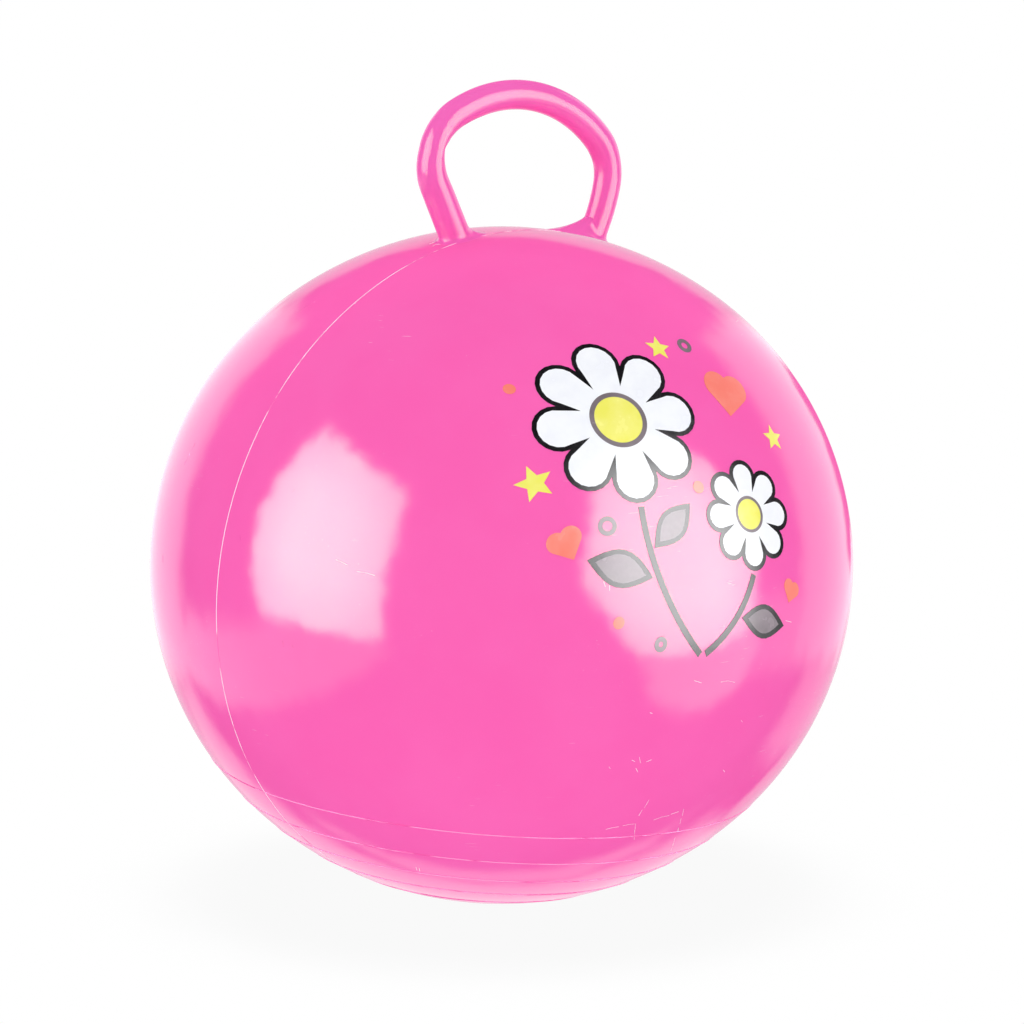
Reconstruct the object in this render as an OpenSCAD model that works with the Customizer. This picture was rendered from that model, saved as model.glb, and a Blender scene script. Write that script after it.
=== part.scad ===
// Ring-handle hopper ball: a hollow PVC ball with a C-shaped tube handle, a plug valve and a
// printed flower design. Millimetres. +Z is up, the handle stands in the XZ plane, the print
// faces -Y and the valve faces +Y. The origin is the middle of the flat patch on the floor.

/* [Ball] */
// Width of the inflated ball
ball_w = 450; // [380:1:520]
// Height of the inflated ball before it flattens on the floor
ball_h = 433; // [370:1:500]
// Thickness of the PVC skin
skin_t = 1.1; // [0.8:0.1:2.5]
// Width of the flat patch that the ball's weight presses on the floor
foot_d = 56; // [40:1:90]

/* [Moulded lines] */
// Width of each fine ring moulded round the bottom
ring_w = 1; // [0.6:0.1:2]
// Width of the flash along the parting line
flash_w = 0.8; // [0.5:0.1:1.5]
// Height of the flash above the skin
flash_h = 0.4; // [0.2:0.1:0.8]

/* [Handle loop] */
// Width of the loop between the middles of its sides
loop_w = 141; // [120:1:160]
// Rise of the tube's middle from the widest level to the crown
loop_rise = 47.4; // [40:0.2:60]
// Height of the widest level above the top of the ball
loop_stand = 36.8; // [32:0.2:46]
// How far the soft loop stands to the right of the ball's axis
loop_offset = 15; // [0:0.5:20]
// How far the soft loop leans to the right, in degrees
loop_angle = 12; // [0:0.5:16]
// Radius of the arc by which the left leg turns in on its way down to the ball
left_leg_r = 31; // [25:1:60]
// Radius of the arc by which the right leg turns in on its way down to the ball
right_leg_r = 110; // [80:1:140]
// Outside diameter of the tube
tube_d = 19.1; // [15:0.1:23]
// Wall of the tube
tube_t = 2; // [1:0.1:3]
// Width of the low dome that carries each leg
root_w = 33; // [24:0.5:40]
// Rise of the dome above the ball
root_h = 5; // [3:0.5:8]

/* [Valve] */
// Height of the valve above the ball's middle, in degrees
valve_angle = 25; // [10:1:40]
// Width of the valve's mouth in the skin
mouth_d = 18; // [16:0.5:24]
// Width of the weld flange inside the skin
flange_d = 34; // [30:1:44]
// Thickness of the weld flange
flange_t = 2; // [1.5:0.1:3]
// Bore of the sleeve that grips the plug
bore_d = 8; // [6:0.1:9]
// Wall of the sleeve
sleeve_t = 1.6; // [1.2:0.1:2]
// Length of the sleeve below the flange
sleeve_l = 14; // [10:0.5:20]
// Width of the plug's head
head_d = 13.4; // [12.8:0.1:14]
// Thickness of the plug's head
head_t = 2; // [1.5:0.1:2.5]
// Depth of the recess that the head sits in
recess_h = 1.6; // [1.4:0.1:2]

/* [Print] */
// Width of the printed design
print_w = 196; // [150:1:230]
// Turn of the design towards the left of the ball's front, in degrees
print_turn_angle = 6; // [0:1:20]
// Height of the design above the ball's middle, in degrees
print_rise_angle = 25; // [10:1:35]
// Thickness of the ink
ink_t = 0.2; // [0.1:0.05:0.5]
// Width of the black outlines
outline_w = 2.8; // [1.5:0.1:4]
// Petals on each flower
petal_count = 8; // [6:1:10]

/* [Hidden] */

$fn = 360;
art_fn = 48;
small_fn = 64;

// Running clearance of the plug in its sleeve, all round
plug_gap = 0.05;
// Space left round the plug's head and the sleeve's spigot
seat_gap = 0.15;
// Space between the ink and the skin
ink_gap = 0.02;
// Overrun of the cutting shapes
cut = 1;
// How far a tie reaches to each side of where two lengths of tube meet
tie_l = 1;

// The ball is a two-arc oval turned about Z. Its arcs meet where the surface faces this way.
join_way = [3, 4] / 5;
ball_r = ball_w / 2;
half_h = ball_h / 2;
side_c = (ball_r - half_h) / (1 + (join_way.y - 1) / join_way.x);
side_r = ball_r - side_c;
crown_c = side_c * join_way.y / join_way.x;
crown_r = half_h + crown_c;
function join_x(grow) = side_c + (side_r + grow) * join_way.x;
foot_drop = crown_r - sqrt(pow(crown_r, 2) - pow(foot_d / 2, 2));
mid_z = half_h - foot_drop;

// Distances of the moulded rings from the axis
ring_shares = [0.32, 0.486, 0.597, 0.691, 0.782];

// The loop is drawn in its own frame, about the middle of its widest level
half_w = loop_w / 2;
tube_r = tube_d / 2;
tube_bore_r = tube_r - tube_t;
// Way from the middle of a shoulder's arc to where the crown's arc takes over
shoulder_way = [3, 4] / 5;
shoulder_c = (half_w - loop_rise) / (1 + (shoulder_way.y - 1) / shoulder_way.x);
shoulder_r = half_w - shoulder_c;
crest_c = shoulder_c * shoulder_way.y / shoulder_way.x;
crest_r = loop_rise + crest_c;
loop_z = mid_z + half_h + loop_stand;

// A leg is an arc that starts at the widest level and turns in, and then a straight run that ends
// below the ball's surface. Each leg is its side, -1 on the left and 1 on the right, the radius of
// its arc, and the way from the arc's middle to its end.
left_leg = [-1, left_leg_r, [4, 3] / 5];
right_leg = [1, right_leg_r, [24, 7] / 25];
function leg_middle(leg) = [leg[0] * (half_w - leg[1]), 0];
function leg_end(leg) = leg_middle(leg) + leg[1] * [leg[0] * leg[2].x, -leg[2].y];
function leg_way(leg) = [-leg[0] * leg[2].y, -leg[2].x];

// Where a leg meets the ball
function turned(p) = [p.x * cos(loop_angle) + p.y * sin(loop_angle),
                      p.y * cos(loop_angle) - p.x * sin(loop_angle)];
function leg_start(leg) = [loop_offset, loop_z] + turned(leg_end(leg));
function leg_run(leg) =
    let (v = leg_start(leg) - [0, mid_z - crown_c],
         b = v * turned(leg_way(leg)))
    -b - sqrt(b * b - v * v + crown_r * crown_r);
function leg_foot(leg) = leg_start(leg) + turned(leg_way(leg)) * leg_run(leg);
function ball_tilt(p) = atan2(p.x, p.y - mid_z + crown_c);

// Height of the oval's bottom over its middle, at a distance from the axis
function oval_z(x) = x < join_x(0)
    ? crown_c - sqrt(pow(crown_r, 2) - pow(x, 2))
    : -sqrt(pow(side_r, 2) - pow(x - side_c, 2));

valve_mouth_r = mouth_d / 2;
bore_r = bore_d / 2;
sleeve_r = bore_r + sleeve_t;
head_r = head_d / 2;
recess_floor = side_r - recess_h;
flange_top = side_r - skin_t - seat_gap;
plug_l = sleeve_l + flange_t;
plug_tip_share = 0.82;
plug_groove_share = 0.5;

// Places and sizes in the design, as shares of its width. Each row of flower_shares and
// heart_shares is across, up, reach; a star's reach is to its points. Turns are in degrees.
flower_shares = [[-0.13, 0.20, 0.26], [0.27, -0.14, 0.16]];
heart_shares = [[0.31, 0.25, 0.17, -14], [-0.38, -0.17, 0.11, 18], [0.43, -0.38, 0.075, -20]];
star_shares = [[-0.44, 0.04, 0.06, 10], [0.115, 0.435, 0.045, -12], [0.46, 0.11, 0.045, 0]];
dot_shares = [[0.085, -0.045, 0.020], [-0.42, 0.36, 0.018], [-0.24, -0.42, 0.018]];
ring_dot_shares = [[-0.25, -0.13, 0.030], [0.225, 0.44, 0.026], [-0.10, -0.50, 0.022]];
leaf_shares = [[-0.145, -0.295, 0.17, 158], [-0.086, -0.20, 0.14, 40], [0.232, -0.453, 0.14, -8]];
stem_shares = [[0.489, -0.112, 0.62, 177.6, 224], [-0.13, -0.17, 0.42, -62.5, -21.6]];
eye_share = 0.3;
eye_ring_share = 0.2;
tip_share = 0.24;
tip_sweep = 112;
tip_steps = 12;
notch_share = 0.46;
star_inner_share = 0.45;
leaf_belly_share = 0.25;
leaf_tip_grow_share = 1.8;
leaf_steps = 10;
stem_w_share = 0.02;
stem_steps = 14;

// Half of the ball's outline, moved outwards by grow. The crown arcs reach in under the side arc,
// so that no seam is left between them.
module oval_half(grow) {
    reach = ball_r + ball_h;
    union() {
        for (s = [-1, 1])
            scale([1, s])
                translate([0, -crown_c])
                    intersection() {
                        circle(crown_r + grow);
                        square([join_x(grow), reach]);
                    }
        translate([side_c, 0])
            intersection() {
                circle(side_r + grow);
                polygon([[0, 0],
                         join_way * reach,
                         [join_way.x, -join_way.y] * reach]);
            }
    }
}

module above_floor(lift) {
    reach = ball_w + ball_h;
    intersection() {
        children();
        translate([0, -mid_z + lift])
            square([reach, reach]);
    }
}

// Solid of the ball, its surface moved outwards by grow, cut flat over the floor by lift
module ball_solid(grow, lift = 0) {
    translate([0, 0, mid_z])
        rotate_extrude()
            above_floor(lift)
                oval_half(grow);
}

// The mould's parting line, a thin flash in the handle's plane
module flash() {
    translate([0, 0, mid_z])
        rotate([90, 0, 0])
            linear_extrude(flash_w, center = true)
                for (s = [-1, 1])
                    scale([s, 1])
                        above_floor(0)
                            difference() {
                                oval_half(flash_h);
                                oval_half(-skin_t / 2);
                            }
}

module in_loop_frame() {
    translate([loop_offset, 0, loop_z])
        rotate([0, loop_angle, 0])
            rotate([90, 0, 0])
                children();
}

// The part of a ring of tube between two directions from its centre, in the loop's own plane
module tube_arc(centre, bend, radius, from, to) {
    reach = bend + tube_d;
    translate(centre)
        intersection() {
            rotate_extrude()
                translate([bend, 0])
                    circle(radius, $fn = small_fn);
            linear_extrude(tube_d * 2, center = true)
                polygon([[0, 0], from * reach, (from + to) * reach, to * reach]);
        }
}

// A straight length of tube, in the loop's own plane
module tube_run(from, way, radius, length) {
    translate([from.x, from.y, 0])
        rotate([0, 0, atan2(way.y, way.x)])
            rotate([0, 90, 0])
                cylinder(h = length, r = radius, $fn = small_fn);
}

// Holds two lengths of tube together where they meet, out of sight inside them
module tube_tie(at, way, radius) {
    tube_run(at - way * tie_l, way, radius - tube_t / 2, tie_l * 2);
}

// One leg, from level with the middle of the loop down into the ball
module leg(leg, radius) {
    tube_arc(leg_middle(leg), leg[1], radius, [leg[0], 0], [leg[0] * leg[2].x, -leg[2].y]);
    tube_run(leg_end(leg), leg_way(leg), radius, leg_run(leg) + tube_d);
    tube_tie(leg_end(leg), leg_way(leg), radius);
    tube_tie([leg[0] * half_w, 0], [0, -1], radius);
}

module legs(radius) {
    in_loop_frame()
        for (leg = [left_leg, right_leg])
            leg(leg, radius);
}

// The whole tube of the loop, of the given radius
module loop_tube(radius) {
    far_way = [-shoulder_way.x, shoulder_way.y];
    in_loop_frame() {
        tube_arc([0, -crest_c], crest_r, radius, shoulder_way, far_way);
        tube_arc([shoulder_c, 0], shoulder_r, radius, [1, 0], shoulder_way);
        tube_arc([-shoulder_c, 0], shoulder_r, radius, far_way, [-1, 0]);
        for (side = [-1, 1])
            tube_tie([side * (shoulder_c + shoulder_r * shoulder_way.x), shoulder_r * shoulder_way.y],
                     [side * shoulder_way.y, -shoulder_way.x], radius);
    }
    legs(radius);
}

module at_root(leg) {
    foot = leg_foot(leg);
    translate([foot.x, 0, foot.y])
        rotate([0, ball_tilt(foot), 0])
            children();
}

// The low dome that one leg grows from
module root_dome(leg) {
    dome_r = (pow(root_w / 2, 2) + pow(root_h, 2)) / (2 * root_h);
    at_root(leg)
        translate([0, 0, root_h - dome_r])
            sphere(dome_r, $fn = small_fn * 2);
}

// What a root covers of the ball
module root_footprint(leg) {
    at_root(leg)
        cylinder(h = root_h, r = root_w / 2 + seat_gap, center = true, $fn = small_fn);
}

// Puts its children on the ball's side, with Z along the outward normal and the origin side_r
// below the surface
module on_side(turn, rise) {
    translate([0, 0, mid_z])
        rotate([0, 0, turn])
            translate([0, -side_c, 0])
                rotate([90 - rise, 0, 0])
                    children();
}

module ball_skin() {
    color([0.99, 0.40, 0.71])
        difference() {
            union() {
                translate([0, 0, mid_z])
                    rotate_extrude()
                        above_floor(0)
                            union() {
                                oval_half(0);
                                for (share = ring_shares)
                                    translate([ball_r * share, oval_z(ball_r * share)])
                                        circle(ring_w / 2, $fn = small_fn);
                            }
                difference() {
                    flash();
                    root_footprint(left_leg);
                    root_footprint(right_leg);
                }
            }
            ball_solid(-skin_t, skin_t);
            legs(tube_bore_r);
            on_side(180, valve_angle)
                translate([0, 0, side_r - mouth_d])
                    cylinder(h = mouth_d * 2, r = valve_mouth_r, $fn = small_fn);
        }
}

module handle_loop() {
    color([0.98, 0.36, 0.68])
        difference() {
            union() {
                loop_tube(tube_r);
                root_dome(left_leg);
                root_dome(right_leg);
            }
            loop_tube(tube_bore_r);
            ball_solid(0);
        }
}

module valve_seat() {
    color([0.93, 0.30, 0.60])
        difference() {
            union() {
                intersection() {
                    ball_solid(-skin_t - seat_gap);
                    on_side(180, valve_angle)
                        translate([0, 0, flange_top - flange_t])
                            cylinder(h = flange_t * 2, r = flange_d / 2, $fn = small_fn);
                }
                on_side(180, valve_angle)
                    translate([0, 0, flange_top - flange_t]) {
                        cylinder(h = side_r - flange_top + flange_t, r = valve_mouth_r - seat_gap,
                                 $fn = small_fn);
                        translate([0, 0, -sleeve_l])
                            cylinder(h = sleeve_l + flange_t / 2, r = sleeve_r, $fn = small_fn);
                    }
            }
            on_side(180, valve_angle) {
                translate([0, 0, flange_top - flange_t - sleeve_l - cut])
                    cylinder(h = sleeve_l + side_r, r = bore_r, $fn = small_fn);
                translate([0, 0, recess_floor])
                    cylinder(h = recess_h + cut, r = head_r + seat_gap, $fn = small_fn);
            }
        }
}

module valve_plug() {
    shank_r = bore_r - plug_gap;
    tip_l = plug_l * (1 - plug_tip_share);
    color([0.96, 0.44, 0.74])
        on_side(180, valve_angle)
            translate([0, 0, recess_floor + plug_gap])
                difference() {
                    union() {
                        cylinder(h = head_t, r = head_r, $fn = small_fn);
                        translate([0, 0, -plug_l + tip_l])
                            cylinder(h = plug_l - tip_l, r = shank_r, $fn = small_fn);
                        translate([0, 0, -plug_l])
                            cylinder(h = tip_l, r1 = shank_r * plug_tip_share, r2 = shank_r,
                                     $fn = small_fn);
                    }
                    // Finger nick in the edge of the head
                    translate([0, head_r, head_t])
                        rotate([0, 90, 0])
                            cylinder(h = head_r, r = head_t * plug_groove_share, center = true,
                                     $fn = small_fn);
                }
}

// A flower's outline as one polygon, grown by grow. Its round tips run into each other where they
// are wide enough, and have a notch between them where they aren't.
module flower_petals(reach, grow) {
    half_turn = 180 / petal_count;
    tip = reach * tip_share + grow;
    run = reach * (1 - tip_share);
    meet = run * sin(half_turn) / tip;
    sweep = meet < 1 ? half_turn + asin(meet) : tip_sweep;
    polygon([for (i = [0:petal_count - 1], j = [0:tip_steps])
        let (mid = i * 2 * half_turn,
             turn = mid + sweep * ((j - 1) / (tip_steps - 1) * 2 - 1))
        if (j > 0 || meet >= 1)
            if (j < tip_steps || meet >= 1)
                j == 0
                    ? reach * notch_share * [cos(mid - half_turn), sin(mid - half_turn)]
                    : run * [cos(mid), sin(mid)] + tip * [cos(turn), sin(turn)]]);
}

module flower_places() {
    for (row = flower_shares)
        translate([row[0], row[1]] * print_w)
            let ($reach = row[2] * print_w)
                children();
}

module heart(width) {
    side = width / (1 + 1 / sqrt(2));
    rotate(45)
        translate([-side / 2, -side / 2]) {
            square(side);
            translate([side / 2, side])
                circle(side / 2, $fn = art_fn);
            translate([side, side / 2])
                circle(side / 2, $fn = art_fn);
        }
}

module heart_places() {
    for (row = heart_shares)
        translate([row[0], row[1]] * print_w)
            rotate(row[3])
                heart(row[2] * print_w);
}

module star(reach) {
    polygon([for (i = [0:9])
        reach * (i % 2 == 0 ? 1 : star_inner_share) * [cos(90 + i * 36), sin(90 + i * 36)]]);
}

module star_places(grow_share) {
    for (row = star_shares)
        translate([row[0], row[1]] * print_w)
            rotate(row[3])
                star(row[2] * print_w * (1 + grow_share));
}

// A pointed leaf from the origin along X, grown by grow
module leaf(length, grow) {
    over = grow * leaf_tip_grow_share;
    belly = length * leaf_belly_share + grow;
    polygon([for (side = [1, -1], j = [0:leaf_steps - 1])
        let (t = side > 0 ? j / leaf_steps : 1 - j / leaf_steps)
        [t * (length + over * 2) - over, side * belly * sin(t * 180)]]);
}

module leaf_places(grow) {
    for (row = leaf_shares)
        translate([row[0], row[1]] * print_w)
            rotate(row[3])
                leaf(row[2] * print_w, grow);
}

// The curved stems: thin arcs, each of the given radius between two angles
module stems() {
    for (row = stem_shares) {
        r = row[2] * print_w;
        w = stem_w_share * print_w;
        translate([row[0], row[1]] * print_w)
            polygon([for (side = [1, -1], j = [0:stem_steps])
                let (t = side > 0 ? j / stem_steps : 1 - j / stem_steps,
                     turn = row[3] + (row[4] - row[3]) * t)
                (r + side * w / 2) * [cos(turn), sin(turn)]]);
    }
}

// Each colour of the design, flat, in the print's own frame. No two overlap.
module art_yellow() {
    flower_places()
        circle($reach * eye_share, $fn = art_fn);
    star_places(0);
}

module art_white() {
    flower_places()
        difference() {
            flower_petals($reach, 0);
            circle($reach * (eye_share + eye_ring_share * eye_share), $fn = art_fn);
        }
}

module art_coral() {
    heart_places();
    for (row = dot_shares)
        translate([row[0], row[1]] * print_w)
            circle(row[2] * print_w, $fn = art_fn);
}

module art_grey() {
    flower_places()
        difference() {
            circle($reach * (eye_share + eye_ring_share * eye_share), $fn = art_fn);
            circle($reach * eye_share, $fn = art_fn);
        }
    leaf_places(0);
    for (row = ring_dot_shares)
        translate([row[0], row[1]] * print_w)
            difference() {
                circle(row[2] * print_w, $fn = art_fn);
                circle(row[2] * print_w - outline_w, $fn = art_fn);
            }
}

module art_black() {
    flower_places()
        difference() {
            flower_petals($reach, outline_w);
            flower_petals($reach, 0);
        }
    difference() {
        leaf_places(outline_w);
        leaf_places(0);
    }
    stems();
}

// Lays a flat design on the ball as a film of ink
module ink() {
    difference() {
        intersection() {
            on_side(-print_turn_angle, print_rise_angle)
                translate([0, 0, side_r / 2])
                    linear_extrude(side_r)
                        children();
            ball_solid(ink_gap + ink_t);
        }
        ball_solid(ink_gap);
    }
}

module print_white() {
    color([0.97, 0.98, 0.99])
        ink()
            art_white();
}

module print_black() {
    color([0.06, 0.06, 0.07])
        ink()
            art_black();
}

module print_yellow() {
    color([0.93, 0.92, 0.36])
        ink()
            art_yellow();
}

module print_coral() {
    color([0.97, 0.50, 0.44])
        ink()
            art_coral();
}

module print_grey() {
    color([0.46, 0.42, 0.45])
        ink()
            art_grey();
}

ball_skin();
handle_loop();
valve_seat();
valve_plug();
print_white();
print_black();
print_yellow();
print_coral();
print_grey();
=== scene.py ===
"""Ring-handle hopper ball: a glossy pink PVC ball with a tube handle, a plug valve and a print.

The ball's skin and the handle are modelled here over their CAD solids. The valve and its plug get
their mouldings' small details, and the inks keep their CAD films with new finishes.
"""

from __future__ import annotations

import logging
import math
from dataclasses import dataclass
from enum import Enum

import bmesh
import bpy
from mathutils import Matrix, Vector

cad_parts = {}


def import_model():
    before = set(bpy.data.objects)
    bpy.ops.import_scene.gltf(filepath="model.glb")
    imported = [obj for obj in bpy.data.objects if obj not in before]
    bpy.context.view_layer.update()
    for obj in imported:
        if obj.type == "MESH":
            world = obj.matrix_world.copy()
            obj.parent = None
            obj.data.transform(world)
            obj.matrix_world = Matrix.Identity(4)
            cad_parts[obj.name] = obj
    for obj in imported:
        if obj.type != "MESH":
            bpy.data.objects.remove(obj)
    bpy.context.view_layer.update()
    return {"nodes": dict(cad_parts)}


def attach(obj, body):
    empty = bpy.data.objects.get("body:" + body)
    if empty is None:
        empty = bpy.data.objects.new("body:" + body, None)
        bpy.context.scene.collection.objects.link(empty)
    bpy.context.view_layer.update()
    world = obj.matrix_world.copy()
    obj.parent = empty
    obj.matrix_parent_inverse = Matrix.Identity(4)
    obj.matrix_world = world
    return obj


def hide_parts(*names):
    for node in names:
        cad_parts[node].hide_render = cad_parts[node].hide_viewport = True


LOG = logging.getLogger("hopper_ball")

MM = 0.001
ROTATE_SIGN = -1  # with no window, a turn goes the other way

Piece = bpy.types.Object
Socket = bpy.types.NodeSocket
Colour = tuple[float, float, float]
Way = tuple[float, float, float]
Place = tuple[float, float]
Marks = tuple[Place, ...]
Station = tuple[Vector, Vector, float]


# Sizes

@dataclass(frozen=True)
class TwoArcs:
    """An oval with one arc at each side and a flatter one above and below, in metres.

    The arcs meet smoothly where the outline faces the way that join gives.
    """

    half_width: float
    half_height: float
    join: Place = (0.6, 0.8)

    @property
    def side_centre(self) -> float:
        """Distance of each side arc's centre from the middle."""
        return (self.half_width - self.half_height) / (1 + (self.join[1] - 1) / self.join[0])

    @property
    def side_radius(self) -> float:
        """Radius of the side arcs."""
        return self.half_width - self.side_centre

    @property
    def crown_centre(self) -> float:
        """Distance of each crown arc's centre below or above the middle."""
        return self.side_centre * self.join[1] / self.join[0]

    @property
    def crown_radius(self) -> float:
        """Radius of the crown arcs."""
        return self.half_height + self.crown_centre

    def point(self, turn: float, grow: float = 0.0) -> Place:
        """Point of the outline where its outward side faces a given way.

        Args:
            turn: That way, from across towards up, in radians.
            grow: Distance outside the outline, in metres.

        Returns:
            Across and up from the oval's middle, in metres.
        """
        across, up = math.cos(turn), math.sin(turn)
        if abs(up) > self.join[1]:
            radius = self.crown_radius + grow
            return radius * across, radius * up - math.copysign(self.crown_centre, up)
        radius = self.side_radius + grow
        return radius * across + math.copysign(self.side_centre, across), radius * up


@dataclass(frozen=True)
class BallSizes(TwoArcs):
    """Sizes of the ball, in metres: its outline is turned about Z."""

    half_width: float = 225 * MM
    half_height: float = 216.5 * MM
    skin: float = 1.1 * MM
    foot: float = 56 * MM
    valve_rise: float = math.radians(25)

    @property
    def middle(self) -> float:
        """Height of the ball's middle above the floor."""
        flat = math.sqrt(self.crown_radius ** 2 - (self.foot / 2) ** 2)
        return self.half_height - (self.crown_radius - flat)

    def at(self, tilt: float, around: float, grow: float = 0.0) -> Vector:
        """Point of the skin that faces a given way.

        Args:
            tilt: Angle of the outward normal above the horizontal, in radians.
            around: Turn of that normal about Z, from +X, in radians.
            grow: Distance outside the skin, in metres.

        Returns:
            The point, in the row frame.
        """
        out, up = self.point(tilt, grow)
        return Vector((out * math.cos(around), out * math.sin(around), self.middle + up))

    def press(self, point: Vector, grow: float = 0.0) -> Vector:
        """Nearest point of the skin.

        Args:
            point: Any point near the skin, in the row frame.
            grow: Distance outside the skin, in metres.

        Returns:
            The point on the skin, moved outwards by grow.
        """
        out, up = math.hypot(point.x, point.y), point.z - self.middle
        tilt = math.atan2(up, out - self.side_centre)
        if abs(tilt) > math.atan2(self.join[1], self.join[0]):
            tilt = math.atan2(up + math.copysign(self.crown_centre, up), out)
        return self.at(tilt, math.atan2(point.y, point.x), grow)

    def normal(self, point: Vector) -> Vector:
        """Outward direction of the skin at a point on it."""
        return (self.press(point, MM) - self.press(point)).normalized()


@dataclass(frozen=True)
class LoopSizes(TwoArcs):
    """Sizes of the handle's tube and its middle line, in metres and radians."""

    half_width: float = 70.5 * MM
    half_height: float = 47.4 * MM
    stand: float = 36.8 * MM
    offset: float = 15 * MM
    lean: float = math.radians(12)
    bends: Place = (31 * MM, 110 * MM)
    turns: Place = (math.atan2(3, 4), math.atan2(7, 24))
    tube: float = 9.55 * MM

    def leg(self, side: int, way: float) -> Place:
        """Point of a leg's middle line in the loop's own plane: an arc, and then a straight run.

        Args:
            side: -1 for the left leg, 1 for the right one.
            way: Length along the leg below the widest level, in metres.

        Returns:
            Across and up from the loop's middle, in metres.
        """
        bend, limit = self.bends[side > 0], self.turns[side > 0]
        turn = min(way / bend, limit)
        rest = way - turn * bend
        return (side * (self.half_width - bend + bend * math.cos(turn) - rest * math.sin(turn)),
                -bend * math.sin(turn) - rest * math.cos(turn))


@dataclass(frozen=True)
class ViewPoint:
    """Where the photograph was taken from, as a turn and a rise in degrees."""

    azimuth: float = -36.5
    rise: float = 10.5
    distance: float = 3.5
    focal: float = 191.9
    sensor: float = 36
    middle_px: Place = (501.5, 564.6)
    half_px: float = 512
    pixel: float = 0.641 * MM
    nearing: int = 16

    @property
    def back(self) -> Vector:
        """Way from the object to the camera."""
        turn, rise = math.radians(self.azimuth), math.radians(self.rise)
        return Vector((math.sin(turn) * math.cos(rise), -math.cos(turn) * math.cos(rise),
                       math.sin(rise)))

    @property
    def right(self) -> Vector:
        """Way to the right in the picture."""
        turn = math.radians(self.azimuth)
        return Vector((math.cos(turn), math.sin(turn), 0))

    @property
    def up(self) -> Vector:
        """Way up in the picture."""
        return self.back.cross(self.right)

    def way(self, turn: float, rise: float) -> Vector:
        """Direction from the ball's middle, seen from the camera.

        Args:
            turn: Turn to the right of the camera, in degrees.
            rise: Rise over the picture's level, in degrees.

        Returns:
            The direction in the row frame.
        """
        side, height = math.radians(turn), math.radians(rise)
        return (self.back * math.cos(side) * math.cos(height)
                + self.right * math.sin(side) * math.cos(height)
                + self.up * math.sin(height))

    def on_ball(self, ball: BallSizes, across: float, down: float, grow: float = 0.0) -> Vector:
        """Point of the skin that shows at a place in the picture.

        Args:
            ball: The ball's sizes.
            across: Place from the picture's left, in pixels.
            down: Place from the picture's top, in pixels.
            grow: Distance outside the skin, in metres.

        Returns:
            The point, in the row frame.
        """
        flat = (Vector((0, 0, ball.middle))
                + self.right * (across - self.middle_px[0]) * self.pixel
                + self.up * (self.middle_px[1] - down) * self.pixel)
        depth = ball.half_width * 2 / 3
        for _ in range(self.nearing):
            point = ball.press(flat + self.back * depth)
            depth = self.back.dot(point - flat)
        return ball.press(flat + self.back * depth, grow)


VIEW = ViewPoint()


# Hand tools

def only(obj: Piece) -> None:
    """Makes one object the only selected and active one."""
    if bpy.context.object and bpy.context.object.mode != "OBJECT":
        bpy.ops.object.mode_set(mode="OBJECT")
    bpy.ops.object.select_all(action="DESELECT")
    obj.select_set(True)
    bpy.context.view_layer.objects.active = obj


def added(name: str) -> Piece:
    """Names the primitive that was just added, and returns it."""
    obj = bpy.context.object
    obj.name = name
    obj.data.name = name
    return obj


def settle(obj: Piece) -> None:
    """Applies an object's place, turn and size to its mesh."""
    only(obj)
    bpy.ops.object.transform_apply(location=True, rotation=True, scale=True)


def edit(obj: Piece) -> bmesh.types.BMesh:
    """Opens an object for editing, with nothing selected, and returns the mesh under edit."""
    only(obj)
    bpy.ops.object.mode_set(mode="EDIT")
    bpy.ops.mesh.select_mode(type="VERT")
    bpy.ops.mesh.select_all(action="DESELECT")
    return bmesh.from_edit_mesh(obj.data)


def close_edit() -> None:
    """Returns to object mode."""
    bpy.ops.object.mode_set(mode="OBJECT")


def finish_with(obj: Piece, kind: str, **settings: object) -> None:
    """Adds a modifier with the given settings, and applies it."""
    only(obj)
    modifier = obj.modifiers.new(kind.lower(), kind)
    for name, value in settings.items():
        setattr(modifier, name, value)
    bpy.ops.object.modifier_apply(modifier=modifier.name)


def carve(obj: Piece, tool: Piece) -> None:
    """Cuts a tool shape out of an object, and removes the tool."""
    finish_with(obj, "BOOLEAN", object=tool, operation="DIFFERENCE", solver="EXACT")
    bpy.data.objects.remove(tool, do_unlink=True)


def join_to(first: Piece, *others: Piece) -> None:
    """Joins mesh objects into the first one."""
    only(first)
    for other in others:
        other.select_set(True)
    bpy.ops.object.join()


def smooth(obj: Piece, angle: float = 40.0) -> None:
    """Shades an object smooth, with creases over an angle in degrees."""
    only(obj)
    bpy.ops.object.shade_smooth_by_angle(angle=math.radians(angle))


def spaced(start: float, end: float, steps: int) -> list[float]:
    """Evenly spaced values from start to end, both included."""
    return [start + (end - start) * step / steps for step in range(steps + 1)]


def dress(piece: Piece, material: bpy.types.Material) -> None:
    """Gives a piece one material all over."""
    piece.data.materials.clear()
    piece.data.materials.append(material)


# Finishes

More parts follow.
